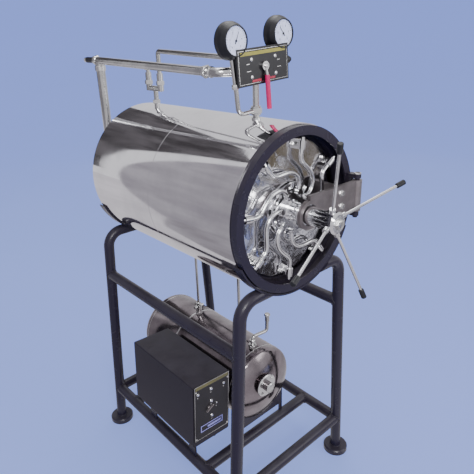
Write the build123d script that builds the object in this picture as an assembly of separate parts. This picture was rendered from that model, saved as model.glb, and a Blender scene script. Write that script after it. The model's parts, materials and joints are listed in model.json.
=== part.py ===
"""Horizontal steam autoclave on a tubular stand.

A polished vessel lies along Y with its round radial-locking door at the -Y end.
Under it are a small boiler, its heater and the electrical box, and on top the
safety valves, the gauges and the multi-port steam valve.
Lengths are in millimetres. They are drawn from the front face of the door ring, at
Y 0, and the finished pieces are moved so that the origin is on the floor under the
middle of the whole machine.
"""
import os
from math import atan2, cos, radians, sin, sqrt

from build123d import *

# Vessel
AXIS_Z = 1164.0          # height of the vessel's axis
CLAD_R = 266.0           # polished cladding, outside
CLAD_WALL = 2.0
CLAD_FRONT_Y = 24.0
CLAD_REAR_Y = 832.0
REAR_DISH = 42.0         # depth of the rear cover's dish
MIDDLE_Y = 392.0         # half way from the handle's knobs to the rear nozzle
CHAMBER_R = 200.0        # inside radius of the sterilising chamber
CHAMBER_WALL = 4.0
CHAMBER_LENGTH = 660.0
JACKET_R = 226.0

# Door ring
RING_R = 262.0
RING_BORE = 234.0
RING_DEPTH = 58.0        # recess that the door lies in
FLANGE_T = 20.0          # sealing flange behind the recess
GROOVE_R = 250.0         # the locking bolts enter this groove
GROOVE_Y = (6.0, 33.0)
GASKET_R = (208.0, 218.0)
GASKET_PROUD = 1.0

# Door
DOOR_R = 222.0
DOOR_FRONT_Y = 42.0
DOOR_T = 10.0
SPINDLE_R = 13.5
BOLT_COUNT = 8
BOLT_START = 83.0        # degrees from +X of the first bolt
BOLT_R = 7.0
BOLT_Y = 19.0            # centre plane of the locking bolts
BOLT_TRAVEL = 18.0
BOLT_TURN = 32.0         # turn of the handle that drives the bolts home
BOLT_TIP = 226.0         # reach of a drawn-back bolt
GUIDE_IN = 190.0
GUIDE_OUT = 216.0

# Handle
SLEEVE_R = 29.0
SLEEVE_Y = (37.0, -108.0)
CAM_R = 88.0             # disc whose spiral slots drive the locking arms
CAM_Y = (31.0, 37.0)
CAM_PIN_R = 4.0
CAM_PIN_AT = (40.0, -47.0)   # pin's place beside the bolt's own line, drawn back
HUB_R = 34.0
HUB_Y = (-108.0, -146.0)
SPOKE_START = 108.0
SPOKE_COUNT = 4
SPOKE_R = 4.6
SPOKE_TIP_R = 236.0
SPOKE_TIP_Y = -188.0
KNOB_R = 8.5
KNOB_L = 30.0

# Door hinge
HINGE_X = 243.0
HINGE_Y = -34.0
HINGE_PIN_R = 8.0
HINGE_BARREL_R = 16.0
HINGE_ARM_Z = (-46.0, 60.0)   # lower and upper edge, from the axis
HINGE_ARM_Y = (-40.0, -28.0)

# Stand
TUBE_R = 21.2            # 42.4 mm pipe
FRAME_Y = (19.0, 827.0)  # front and rear pair of legs
LEG_FOOT_X = 292.0
LEG_TOP_X = 238.5
LEG_TOP_Z = 930.0
LEG_BEND = 62.0
FOOT_R = 50.0
FOOT_T = 22.0
UPPER_BRACE_Z = 746.0
LOWER_BRACE_Z = 172.0
MID_RAIL_Y = 191.0
MID_REAR_RAIL_Y = 690.0
SADDLE_T = 6.0

# Boiler
BOILER_X = 8.0
BOILER_Z = 406.0
BOILER_R = 149.0
BOILER_WALL = 4.0
BOILER_Y = (185.0, 785.0)
BOILER_DISH = 46.0
BOILER_KNUCKLE = 20.0

# Control box
BOX_CORNER = (-318.0, 204.0, 288.0)   # lower front left corner
BOX_W = 166.0
BOX_D = 388.0
BOX_H = 258.0
BOX_TILT = 3.3           # leans with the legs
PANEL_Z = (23.0, 261.0)  # the panel stands a little above the box's top

# Top works
PLATE_Y = 155.0
PLATE_W = 212.0
PLATE_H = 104.0
PLATE_Z = 1588.0
PLATE_ROLL = 4.0         # the plate and the gauges hang a little askew
GAUGE_R = 52.0
DIAL_R = 41.0
GAUGE_DEPTH = 44.0
GAUGE_LEFT = (-107.0, 1656.0)
GAUGE_RIGHT = (84.0, 1673.0)
EXHAUST_R = 13.4         # 3/4 inch pipe
POST_R = 16.7            # 1 inch pipe

os.makedirs("parts", exist_ok=True)
PARTS = {}


def keep(name, shape):
    """Name a finished piece."""
    shape.label = name
    PARTS[name] = shape


def along_y(radius, y0, y1, x=0.0, z=AXIS_Z):
    """Solid cylinder whose axis is parallel to Y."""
    low, high = min(y0, y1), max(y0, y1)
    return Pos(x, (low + high) / 2, z) * Rot(90, 0, 0) * Cylinder(radius, high - low)


def turned(profile, x=0.0, z=AXIS_Z):
    """Revolve a closed (radius, y) outline about a line parallel to Y."""
    outline = make_face(Polyline(*profile, close=True))
    solid = revolve(outline, Axis.Y, 360)
    return Pos(x, 0, z) * solid


def bent_rod(points, radius, bend):
    """Round bar or pipe along a path with equal bends."""
    if len(points) > 2:
        path = FilletPolyline(*points, radius=bend)
    else:
        path = Line(*points)
    start = Plane(origin=path @ 0, z_dir=path % 0)
    return sweep(start * Circle(radius), path=path)


def rod(a, b, radius):
    """Straight round bar between two points."""
    return bent_rod([a, b], radius, 0)


def cap_arc(radius, depth, y, direction):
    """Arc of a shallow dished end, from its crown to its rim."""
    sphere_r = (radius**2 + depth**2) / (2 * depth)
    centre_y = y + direction * (depth - sphere_r)
    half_angle = atan2(radius, sphere_r - depth) / 2
    middle = (sphere_r * sin(half_angle), centre_y + direction * sphere_r * cos(half_angle))
    return ThreePointArc((0.0, y + direction * depth), middle, (radius, y))


def dish(radius, depth, y, direction, x, z, wall):
    """Shallow dished end: two arcs turned about the vessel's axis."""
    outer = cap_arc(radius, depth, y, direction)
    inner = cap_arc(radius - wall, depth - wall, y, direction)
    edges = [outer, Line(outer @ 1, inner @ 1), inner, Line(inner @ 0, outer @ 0)]
    return Pos(x, 0, z) * revolve(make_face(edges), Axis.Y, 360)


def drum(radius, wall, y0, y1, depth, x, z):
    """Closed drum with a dished end at each side."""
    r_in = radius - wall
    out0, out1 = cap_arc(radius, depth, y0, -1), cap_arc(radius, depth, y1, 1)
    in0, in1 = cap_arc(r_in, depth - wall, y0, -1), cap_arc(r_in, depth - wall, y1, 1)
    edges = [out0, Line(out0 @ 1, out1 @ 1), out1, Line(out1 @ 0, in1 @ 0)]
    edges += [in1, Line(in1 @ 1, in0 @ 1), in0, Line(in0 @ 0, out0 @ 0)]
    return Pos(x, 0, z) * revolve(make_face(edges), Axis.Y, 360)


def leg_x(height):
    """Distance of a splayed leg's centre line from the middle plane."""
    return LEG_FOOT_X + (LEG_TOP_X - LEG_FOOT_X) * height / LEG_TOP_Z


def polar(radius, angle, y):
    """Point on a circle about the vessel's axis."""
    return (radius * cos(radians(angle)), y, AXIS_Z + radius * sin(radians(angle)))


# Stand
vessel_space = along_y(CLAD_R + 0.5 + SADDLE_T, -60, 900)
for depth_name, frame_y in zip(("front", "rear"), FRAME_Y):
    for side_name, side in (("left", -1), ("right", 1)):
        path = [
            (side * LEG_FOOT_X, frame_y, FOOT_T),
            (side * LEG_TOP_X, frame_y, LEG_TOP_Z),
            (side * 112.0, frame_y, LEG_TOP_Z),
        ]
        leg = bent_rod(path, TUBE_R, LEG_BEND) - vessel_space
        foot = Pos(side * LEG_FOOT_X, frame_y, FOOT_T / 2) * Cylinder(FOOT_R, FOOT_T)
        foot = chamfer(foot.edges().group_by(Axis.Z)[-1], 5)
        leg = leg + foot
        keep(f"leg_{depth_name}_{side_name}", leg.solids().sort_by(SortBy.VOLUME)[-1])

leg_space = [PARTS[f"leg_{d}_{s}"] for d in ("front", "rear") for s in ("left", "right")]


def between_legs(a, b, radius=TUBE_R):
    """Stand tube with its ends coped to the legs it meets."""
    tube = rod(a, b, radius)
    for leg in leg_space:
        tube = tube - leg
    return tube.solids().sort_by(SortBy.VOLUME)[-1]


for side_name, side in (("left", -1), ("right", 1)):
    for level_name, level in (("upper", UPPER_BRACE_Z), ("lower", LOWER_BRACE_Z)):
        x = side * leg_x(level)
        keep(
            f"brace_{level_name}_{side_name}",
            between_legs((x, FRAME_Y[0], level), (x, FRAME_Y[1], level)),
        )

half = leg_x(LOWER_BRACE_Z)
side_tubes = PARTS["brace_lower_left"] + PARTS["brace_lower_right"]
for name, y in (("front", FRAME_Y[0]), ("rear", FRAME_Y[1])):
    rail = between_legs((-half, y, LOWER_BRACE_Z), (half, y, LOWER_BRACE_Z)) - side_tubes
    keep(f"rail_lower_{name}", rail.solids().sort_by(SortBy.VOLUME)[-1])
rail_top = LOWER_BRACE_Z + TUBE_R
boiler_space = along_y(BOILER_R + 0.3, *BOILER_Y, BOILER_X, BOILER_Z)
for name, y in (("front", MID_RAIL_Y), ("rear", MID_REAR_RAIL_Y)):
    bar = rod((-half, y, LOWER_BRACE_Z), (half, y, LOWER_BRACE_Z), TUBE_R)
    bar = bar - PARTS["brace_lower_left"] - PARTS["brace_lower_right"]
    cradle_h = BOILER_Z - 60 - rail_top + 10
    cradle = Pos(BOILER_X, y + 8, rail_top - 10 + cradle_h / 2) * Box(264, 8, cradle_h)
    window = Pos(BOILER_X, y + 8, rail_top) * Box(236, 20, 70)
    bar = bar + (cradle - window - boiler_space)
    keep(f"rail_mid_{name}", bar.solids().sort_by(SortBy.VOLUME)[-1])


def saddle(y0, y1):
    """Curved strip that the vessel lies in, open at the top."""
    band = along_y(CLAD_R + 0.5 + SADDLE_T, y0, y1) - along_y(CLAD_R + 0.5, y0, y1)
    cutter = Pos(0, (y0 + y1) / 2, AXIS_Z - 112 + 300) * Box(700, abs(y1 - y0) + 2, 600)
    return band - cutter


keep("saddle_front", saddle(2, 36))
keep("saddle_rear", saddle(806, 848))

# Vessel
clad_in = CLAD_R - CLAD_WALL
keep(
    "cladding",
    turned(
        [
            (RING_R + 1, CLAD_FRONT_Y),
            (CLAD_R, CLAD_FRONT_Y),
            (CLAD_R, CLAD_REAR_Y),
            (clad_in, CLAD_REAR_Y),
            (clad_in, CLAD_FRONT_Y + 2),
            (RING_R + 1, CLAD_FRONT_Y + 2),
        ]
    ),
)
keep("rear_cover", dish(CLAD_R - 3, REAR_DISH, CLAD_REAR_Y, 1, 0, AXIS_Z, 2.0))

flange_y0, flange_y1 = RING_DEPTH, RING_DEPTH + FLANGE_T
g0, g1 = GROOVE_Y
keep(
    "door_ring",
    turned(
        [
            (RING_BORE, 0.0),
            (RING_R, 0.0),
            (RING_R, flange_y1),
            (CHAMBER_R + CHAMBER_WALL + 1, flange_y1),
            (CHAMBER_R + CHAMBER_WALL + 1, flange_y0),
            (GASKET_R[0], flange_y0),
            (GASKET_R[0], flange_y0 + 6),
            (GASKET_R[1], flange_y0 + 6),
            (GASKET_R[1], flange_y0),
            (RING_BORE, flange_y0),
            (RING_BORE, g1),
            (GROOVE_R, g1),
            (GROOVE_R, g0),
            (RING_BORE, g0),
        ]
    ),
)

chamber_out = CHAMBER_R + CHAMBER_WALL
chamber_end_y = flange_y0 + 4 + CHAMBER_LENGTH
chamber = along_y(chamber_out, flange_y0 + 4, chamber_end_y)
chamber = chamber - along_y(CHAMBER_R, flange_y0, chamber_end_y + 1)
chamber = chamber + dish(chamber_out, 46, chamber_end_y, 1, 0, AXIS_Z, CHAMBER_WALL)
jacket = turned(
    [
        (chamber_out - 1, flange_y1 + 12),
        (JACKET_R, flange_y1 + 12),
        (JACKET_R, chamber_end_y - 20),
        (chamber_out - 1, chamber_end_y - 20),
        (chamber_out - 1, chamber_end_y - 24),
        (JACKET_R - 4, chamber_end_y - 24),
        (JACKET_R - 4, flange_y1 + 16),
        (chamber_out - 1, flange_y1 + 16),
    ]
)
keep("chamber", chamber + jacket)
keep(
    "door_gasket",
    turned(
        [
            (GASKET_R[0] + 0.2, flange_y0 + 5.8),
            (GASKET_R[0] + 0.2, flange_y0 + 1),
            (GASKET_R[0] + 3, flange_y0 - GASKET_PROUD),
            (GASKET_R[1] - 3, flange_y0 - GASKET_PROUD),
            (GASKET_R[1] - 0.2, flange_y0 + 1),
            (GASKET_R[1] - 0.2, flange_y0 + 5.8),
        ]
    ),
)

# Door
door = turned(
    [
        (0.0, DOOR_FRONT_Y),
        (DOOR_R - 3, DOOR_FRONT_Y),
        (DOOR_R, DOOR_FRONT_Y + 3),
        (DOOR_R, DOOR_FRONT_Y + DOOR_T),
        (0.0, DOOR_FRONT_Y + DOOR_T),
    ]
)
door = door + along_y(SPINDLE_R, DOOR_FRONT_Y + 2, HUB_Y[1] + 6)
guide_mid = (GUIDE_IN + GUIDE_OUT) / 2
guide = Pos(guide_mid, BOLT_Y, 0) * Rot(0, 90, 0) * Cylinder(12, GUIDE_OUT - GUIDE_IN)
pedestal_h = DOOR_FRONT_Y - BOLT_Y + 1
guide = guide + Pos(guide_mid, BOLT_Y + pedestal_h / 2, 0) * Box(GUIDE_OUT - GUIDE_IN, pedestal_h, 18)
guide = guide - Pos(guide_mid, BOLT_Y, 0) * Rot(0, 90, 0) * Cylinder(BOLT_R + 0.6, 90)
for k in range(BOLT_COUNT):
    angle = BOLT_START + k * 360 / BOLT_COUNT
    door = door + Pos(0, 0, AXIS_Z) * Rot(0, -angle, 0) * guide
keep("door_plate", door)

# Each locking arm is one bent bar: a straight bolt in its guide, then an S that
# passes its neighbour and ends over the cam, where its pin stands in a slot.
pin_x, pin_z = CAM_PIN_AT
bend_x = GUIDE_IN - BOLT_TRAVEL + 4   # the bend stays out of the guide when driven home
straight = Line((BOLT_TIP, BOLT_Y, 0), (bend_x, BOLT_Y, 0))
bend = Spline(
    (bend_x, BOLT_Y, 0),
    (140, BOLT_Y, -25),
    (100, BOLT_Y, -66),
    (66, BOLT_Y, -68),
    (pin_x, BOLT_Y, pin_z),
    tangents=((-1, 0, 0), (-0.6, 0, 0.8)),
)
bar = Wire([straight, bend])
arm = sweep(Plane(origin=bar @ 0, z_dir=bar % 0) * Circle(BOLT_R), path=bar)
eye = Pos(pin_x, BOLT_Y, pin_z) * Rot(90, 0, 0) * Cylinder(BOLT_R + 3, 2 * BOLT_R + 1)
pin_l = CAM_Y[1] - BOLT_Y
pin = Pos(pin_x, BOLT_Y + pin_l / 2, pin_z) * Rot(90, 0, 0) * Cylinder(CAM_PIN_R, pin_l)
arm = arm + eye + pin
for k in range(BOLT_COUNT):
    angle = BOLT_START + k * 360 / BOLT_COUNT
    keep(f"locking_arm_{k + 1}", Pos(0, 0, AXIS_Z) * Rot(0, -angle, 0) * arm)

# Handle
def pin_on_cam(share):
    """Where an arm's pin stands on the cam once this share of the turn is done."""
    x, z = pin_x + BOLT_TRAVEL * share, pin_z
    turn = radians(BOLT_TURN * share)
    return (x * cos(turn) - z * sin(turn), x * sin(turn) + z * cos(turn))


def cam_slot():
    """Spiral slot that the pin follows, cut through the cam."""
    half_width = CAM_PIN_R + 0.6
    middle = [pin_on_cam(share) for share in (-0.03, 0.2, 0.4, 0.6, 0.8, 1.03)]
    near, far = [], []
    for i, (x, z) in enumerate(middle):
        x0, z0 = middle[max(i - 1, 0)]
        x1, z1 = middle[min(i + 1, len(middle) - 1)]
        length = sqrt((x1 - x0) ** 2 + (z1 - z0) ** 2)
        nx, nz = -(z1 - z0) / length * half_width, (x1 - x0) / length * half_width
        near.append((x + nx, 0, z + nz))
        far.append((x - nx, 0, z - nz))
    outline = [Spline(*near), Line(near[-1], far[-1]), Spline(*far), Line(far[0], near[0])]
    slot = extrude(make_face(outline), amount=30, dir=(0, 1, 0))
    for x, z in (middle[0], middle[-1]):
        slot = slot + Pos(x, 15, z) * Rot(90, 0, 0) * Cylinder(half_width, 30)
    return Pos(0, CAM_Y[0] - 10, 0) * slot


handle = turned(
    [
        (SPINDLE_R + 1.5, SLEEVE_Y[0]),
        (CAM_R, CAM_Y[1]),
        (CAM_R, CAM_Y[0]),
        (SLEEVE_R + 5, CAM_Y[0]),
        (SLEEVE_R, CAM_Y[0] - 6),
        (SLEEVE_R, SLEEVE_Y[1]),
        (HUB_R, SLEEVE_Y[1]),
        (HUB_R, HUB_Y[1] + 6),
        (HUB_R - 6, HUB_Y[1]),
        (0.0, HUB_Y[1]),
        (0.0, HUB_Y[1] + 4),
        (SPINDLE_R + 1.5, HUB_Y[1] + 4),
    ]
)
slot = cam_slot()
for k in range(BOLT_COUNT):
    angle = BOLT_START + k * 360 / BOLT_COUNT
    handle = handle - Pos(0, 0, AXIS_Z) * Rot(0, -angle, 0) * slot
hub_mid = (HUB_Y[0] + HUB_Y[1]) / 2
for k in range(SPOKE_COUNT):
    angle = SPOKE_START + k * 360 / SPOKE_COUNT
    root = polar(24, angle, hub_mid)
    tip = polar(SPOKE_TIP_R, angle, SPOKE_TIP_Y)
    handle = handle + rod(root, tip, SPOKE_R)
    handle = handle + rod(root, polar(HUB_R + 14, angle, hub_mid - 5), SPOKE_R + 4)
    grip_start = polar(SPOKE_TIP_R - 2, angle, SPOKE_TIP_Y + 0.5)
    grip_end = polar(SPOKE_TIP_R - 2 + KNOB_L, angle, SPOKE_TIP_Y - 8)
    grip = rod(grip_start, grip_end, KNOB_R)
    grip = fillet(grip.edges(), 2.5)
    keep(f"handle_knob_{k + 1}", grip)
for k in range(SPOKE_COUNT):
    handle = handle - PARTS[f"handle_knob_{k + 1}"]
keep("handle", handle.solids().sort_by(SortBy.VOLUME)[-1])

# Door hinge
arm_low, arm_high = HINGE_ARM_Z
arm_front, arm_back = HINGE_ARM_Y
arm_mid_y = (arm_front + arm_back) / 2
arm_mid_z = AXIS_Z + (arm_low + arm_high) / 2
arm_h = arm_high - arm_low
plate = Pos(HINGE_X / 2, arm_mid_y, arm_mid_z) * Box(HINGE_X, arm_back - arm_front, arm_h)
plate = plate + along_y(46, arm_front, arm_back)
plate = plate - along_y(SLEEVE_R + 5, -60, 0)
plate = plate + Pos(HINGE_X, HINGE_Y, arm_mid_z) * Cylinder(HINGE_BARREL_R, arm_h)
post_depth = DOOR_FRONT_Y - arm_back
plate = plate + Pos(176, (arm_back + DOOR_FRONT_Y) / 2, AXIS_Z + 26) * Box(18, post_depth, 44)
pin_hole = Pos(HINGE_X, HINGE_Y, AXIS_Z) * Cylinder(HINGE_PIN_R + 0.3, 400)
keep("hinge_arm", plate - pin_hole)

lug_gap = 6.0
lug_t = 12.0
lug_w = 24.0
back_t = 11.0
back_h = arm_h + 2 * lug_gap + 2 * lug_t
bracket = Pos(HINGE_X, -back_t / 2, arm_mid_z) * Box(lug_w, back_t, back_h)
for z in (AXIS_Z + arm_high + lug_gap + lug_t / 2, AXIS_Z + arm_low - lug_gap - lug_t / 2):
    bracket = bracket + Pos(HINGE_X, HINGE_Y, z) * Cylinder(lug_w / 2, lug_t)
    bracket = bracket + Pos(HINGE_X, HINGE_Y / 2, z) * Box(lug_w, -HINGE_Y, lug_t)
bracket = bracket + Pos(HINGE_X, HINGE_Y, arm_mid_z) * Cylinder(HINGE_PIN_R, back_h + 12)
keep("hinge_bracket", bracket)

# Boiler
by0, by1 = BOILER_Y
boiler = drum(BOILER_R, BOILER_WALL, by0, by1, BOILER_DISH, BOILER_X, BOILER_Z)
rims = [e for e in boiler.edges().filter_by(GeomType.CIRCLE) if abs(e.radius - BOILER_R) < 0.01]
keep("boiler", fillet(rims, BOILER_KNUCKLE))

heater_x, heater_z = BOILER_X - 22, BOILER_Z + 32
heater_y = by0 - BOILER_DISH + 8
heater = along_y(34, heater_y + 14, heater_y - 10, heater_x, heater_z)
heater = heater + along_y(19, heater_y - 8, heater_y - 34, heater_x, heater_z)
cap_r = (BOILER_R**2 + BOILER_DISH**2) / (2 * BOILER_DISH)
heater = heater - Pos(BOILER_X, by0 - BOILER_DISH + cap_r, BOILER_Z) * Sphere(cap_r + 0.3)
keep("heater_cover", heater.solids().sort_by(SortBy.VOLUME)[-1])

# Control box
box_at = Pos(*BOX_CORNER) * Rot(0, BOX_TILT, 0)
housing = Pos(BOX_W / 2, BOX_D / 2, BOX_H / 2) * Box(BOX_W, BOX_D, BOX_H)
housing = fillet(housing.edges().filter_by(Axis.Y), 4)
keep("control_box", box_at * housing)
panel_low, panel_high = PANEL_Z
panel_h = panel_high - panel_low
panel = Pos(BOX_W / 2, -1.5, panel_low + panel_h / 2) * Box(BOX_W - 4, 3, panel_h)
keep("control_panel", box_at * panel)
x0, y0, z0 = BOX_CORNER
shelf_h = z0 - rail_top + 14
shelf = Pos(x0 + 62, y0 + BOX_D / 2, z0 - 10) * Box(110, BOX_D - 40, 5)
for y in (y0 + 60, y0 + BOX_D - 60):
    shelf = shelf + Pos(x0 + 36, y, rail_top - 12 + shelf_h / 2) * Box(6, 40, shelf_h)
shelf = shelf - PARTS["control_box"]
PARTS["brace_lower_left"] = PARTS["brace_lower_left"] + shelf.solids().sort_by(SortBy.VOLUME)[-1]
PARTS["brace_lower_left"].label = "brace_lower_left"

# Top works
stand_top = (-150.0, 886.0, 1594.0)
stand_foot = (-150.0, 886.0, 1300.0)
elbow = (-138.0, 205.0, 1573.0)
tail = (-150.6, 922.0, 1599.3)
exhaust = bent_rod([tail, elbow, (-92.0, PLATE_Y + 30, 1573.0)], EXHAUST_R, 24)
exhaust = exhaust + rod(stand_foot, stand_top, POST_R)
exhaust = exhaust + rod((-150.0, 852.0, 1322.0), (-150.0, 884.0, 1322.0), POST_R - 3)
exhaust = exhaust + rod((-150.5, 915.0, 1599.0), (-160.0, 984.0, 1600.0), 7)
exhaust = exhaust + rod((-139.2, 262.0, 1575.0), (-138.9, 240.0, 1574.2), EXHAUST_R + 3)
exhaust = exhaust - PARTS["rear_cover"]
keep("exhaust_pipe", exhaust.solids().sort_by(SortBy.VOLUME)[-1])
sleeve = rod((-151.9, 925.0, 1599.1), (-157.8, 968.0, 1599.8), 11) - PARTS["exhaust_pipe"]
keep("nozzle_sleeve", sleeve.solids().sort_by(SortBy.VOLUME)[-1])

valve_x, valve_y = -45.0, 676.0
tee_z = 1498.0
left_y, right_y = valve_y + 42, valve_y - 34
manifold = rod((valve_x, valve_y, 1400.0), (valve_x, valve_y, tee_z), 9)
manifold = manifold + rod((valve_x, left_y + 4, tee_z), (valve_x, right_y - 4, tee_z), 10)
manifold = manifold + rod((valve_x, left_y, tee_z - 8), (valve_x, left_y, tee_z + 56), 11)
manifold = manifold + rod((valve_x, left_y, tee_z + 50), (valve_x, left_y, tee_z + 70), 7)
manifold = manifold + rod((valve_x, right_y, tee_z - 8), (valve_x, right_y, tee_z + 54), 11.5)
keep("safety_valves", manifold - along_y(CLAD_R + 0.3, 0, 832))

left_x, left_z = GAUGE_LEFT
line_points = [
    (valve_x, right_y, tee_z + 40),
    (valve_x, right_y, 1628.0),
    (left_x + 6, PLATE_Y + GAUGE_DEPTH - 12, left_z - 44),
]
gauge_line = bent_rod(line_points, 8, 13) - PARTS["safety_valves"]


def gauge(x, z):
    """Round dial gauge facing the front: a deep case that narrows to its dial."""
    front = PLATE_Y - 4
    outline = [
        (0.0, front + 3),
        (DIAL_R - 2, front + 3),
        (DIAL_R - 2, front),
        (DIAL_R + 1, front),
        (GAUGE_R - 3, front + 12),
        (GAUGE_R, front + 22),
        (GAUGE_R, front + GAUGE_DEPTH - 8),
        (GAUGE_R - 10, front + GAUGE_DEPTH),
        (0.0, front + GAUGE_DEPTH),
    ]
    return turned(outline, x, z)


valve_at = Pos(0, PLATE_Y, PLATE_Z) * Rot(0, -PLATE_ROLL, 0)
valve_body = Box(PLATE_W, 6, PLATE_H) + Pos(0, 33, -6) * Box(120, 60, 70)
stub = Rot(0, 90, 0) * Cylinder(8, 84)
valve_body = valve_body + Pos(100, 24, 0) * stub
valve_body = valve_body + Pos(126, 24, 0) * Rot(0, 90, 0) * Cylinder(12, 16)
keep("valve_plate", valve_at * valve_body)
keep("gauge_left", gauge(*GAUGE_LEFT) - PARTS["valve_plate"])
right_stem = rod((84.0, PLATE_Y + 22, 1630.0), (84.0, PLATE_Y + 22, 1590.0), 7)
right_gauge = gauge(*GAUGE_RIGHT) + right_stem
right_gauge = right_gauge - PARTS["valve_plate"]
keep("gauge_right", right_gauge.solids().sort_by(SortBy.VOLUME)[-1])
keep("gauge_line", (gauge_line - PARTS["gauge_left"]).solids().sort_by(SortBy.VOLUME)[-1])

lever = along_y(13, PLATE_Y - 3.5, PLATE_Y - 12, 0, 1586)
lever = lever + bent_rod([(0, PLATE_Y - 9, 1586), (5, PLATE_Y - 12, 1556)], 5, 0)
keep("selector_lever", lever)
grip = rod((5.0, PLATE_Y - 12, 1560.0), (10.0, PLATE_Y - 16, 1462.0), 7.5)
keep("lever_grip", grip - PARTS["selector_lever"])

pipe_y = PLATE_Y + 20
down = rod((-12.0, pipe_y, AXIS_Z + CLAD_R - 4), (-12.0, pipe_y, PLATE_Z - 36), 10)
down = down + Pos(-12.0, pipe_y, 1456) * Cylinder(15, 26)
keep("down_pipe", down - along_y(CLAD_R + 0.3, 0, 832) - PARTS["valve_plate"])
feed_path = [
    (left_x + 1, pipe_y, left_z - 48),
    (-92.0, pipe_y, 1520.0),
    (-84.0, pipe_y, 1449.0),
    (-20.0, pipe_y, 1455.0),
]
gauge_feed = bent_rod(feed_path, 7, 22)
for name in ("down_pipe", "valve_plate", "exhaust_pipe", "gauge_left"):
    gauge_feed = gauge_feed - PARTS[name]
keep("gauge_feed", gauge_feed.solids().sort_by(SortBy.VOLUME)[-1])

# Pipes between vessel and boiler
under_z = AXIS_Z - CLAD_R
feed_y = 566.0
feed = rod((BOILER_X, feed_y, under_z - 2), (BOILER_X, feed_y, BOILER_Z + BOILER_R - 3), 5.5)
feed = feed + Pos(BOILER_X, feed_y, BOILER_Z + BOILER_R + 24) * Cylinder(12, 36)
feed = feed + rod((BOILER_X - 22, feed_y, 592.0), (BOILER_X + 22, feed_y, 592.0), 7)
keep("steam_feed", feed - boiler_space)
condensate = rod((-48.0, 240.0, 906.0), (-48.0, 240.0, 530.0), 5.5)
keep("condensate_pipe", condensate - boiler_space - along_y(CLAD_R + 0.3, 0, 832))
inlet = bent_rod(
    [(0.0, 222.0, 552.0), (0.0, 222.0, 606.0), (72.0, 216.0, 604.0), (74.0, 216.0, 670.0)], 7, 12
)
inlet = inlet + Pos(0, 222, 566) * Cylinder(14, 18)
inlet = inlet + rod((74.0, 216.0, 646.0), (74.0, 216.0, 680.0), 8.5)
keep("water_inlet", inlet - boiler_space)

for name, shape in PARTS.items():
    shape = Pos(0, -MIDDLE_Y, 0) * shape
    shape.label = name
    export_step(shape, f"parts/{name}.step")
    print(name, round(shape.volume / 1000.0, 1), "cm3", len(shape.solids()))
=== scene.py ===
# %% [markdown]
# # A horizontal steam autoclave
# The machine is a mirror-polished drum on a black stand of bent pipe, with a small boiler
# and an electrical box below and the gauges and valves on top. The solids come from the
# CAD frame. This notebook gives them their finishes and adds the small fittings.

# %% Load the frame
import json
import math

import bmesh
import bpy
from mathutils import Matrix, Vector


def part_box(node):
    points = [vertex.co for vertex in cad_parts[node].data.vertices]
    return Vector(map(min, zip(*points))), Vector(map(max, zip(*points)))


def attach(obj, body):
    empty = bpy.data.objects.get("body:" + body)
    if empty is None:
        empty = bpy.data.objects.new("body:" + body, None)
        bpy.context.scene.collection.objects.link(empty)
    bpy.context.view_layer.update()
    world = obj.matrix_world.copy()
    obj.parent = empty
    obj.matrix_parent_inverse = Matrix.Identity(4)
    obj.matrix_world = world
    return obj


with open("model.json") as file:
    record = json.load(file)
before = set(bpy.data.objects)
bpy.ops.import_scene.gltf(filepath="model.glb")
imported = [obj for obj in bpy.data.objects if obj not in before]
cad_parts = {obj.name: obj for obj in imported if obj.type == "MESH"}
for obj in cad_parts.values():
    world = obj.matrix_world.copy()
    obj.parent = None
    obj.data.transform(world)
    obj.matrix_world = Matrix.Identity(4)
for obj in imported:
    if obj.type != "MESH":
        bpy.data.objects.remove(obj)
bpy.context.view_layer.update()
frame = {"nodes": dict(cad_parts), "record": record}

scene = bpy.context.scene

# %% [markdown]
# ## Places
# The CAD model was drawn in millimetres from the front face of the door ring, and was then
# moved back so that its middle stands over the origin. Reading that face from the frame
# turns the drawing's sizes into places here, so no offset has to be typed in twice.

# %% From the drawing to the scene
RING_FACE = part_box("door_ring")[0].y
AXIS_HEIGHT = 1164.0


def at(x, y, z):
    """Place in metres of a point of the drawing, given in millimetres."""
    return Vector((x / 1000, y / 1000 + RING_FACE, z / 1000))


print("ring face at y", round(RING_FACE, 4))

# %% [markdown]
# ## Camera
# The camera stands a little above the drum, off the front left corner. Its place was found
# by fitting the stand, the rings and the box to the picture, so it is given as a point and
# three turns rather than as a target to look at. The shift is a few pixels only.

# %% Camera
eye = at(-1062.9, -908.8, 1661.3)
azimuth, pitch, roll = (math.radians(a) for a in (-41.585, 21.903, -1.613))
forward = Vector((
    -math.sin(azimuth) * math.cos(pitch),
    math.cos(azimuth) * math.cos(pitch),
    -math.sin(pitch),
))
level_right = forward.cross(Vector((0, 0, 1))).normalized()
level_up = level_right.cross(forward)
right = level_right * math.cos(roll) + level_up * math.sin(roll)
up = level_up * math.cos(roll) - level_right * math.sin(roll)
camera = bpy.data.objects.new("camera", bpy.data.cameras.new("camera"))
scene.collection.objects.link(camera)
camera.matrix_world = Matrix((
    (right.x, up.x, -forward.x, eye.x),
    (right.y, up.y, -forward.y, eye.y),
    (right.z, up.z, -forward.z, eye.z),
    (0, 0, 0, 1),
))
camera.data.sensor_width = 36.0
camera.data.lens = 36.509
camera.data.shift_x = -0.00166
camera.data.shift_y = -0.0103
camera.data.clip_end = 80.0
scene.camera = camera
print("camera at", tuple(round(v, 3) for v in eye))

# %% [markdown]
# ## Node trees written as sums
# Finishes and repeated pieces are both node trees, and both are mostly sums. Written node
# by node they are hard to read, so one small class wraps a socket and turns Python's
# operators into Math nodes, and another adds every other node with a single method.


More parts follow.
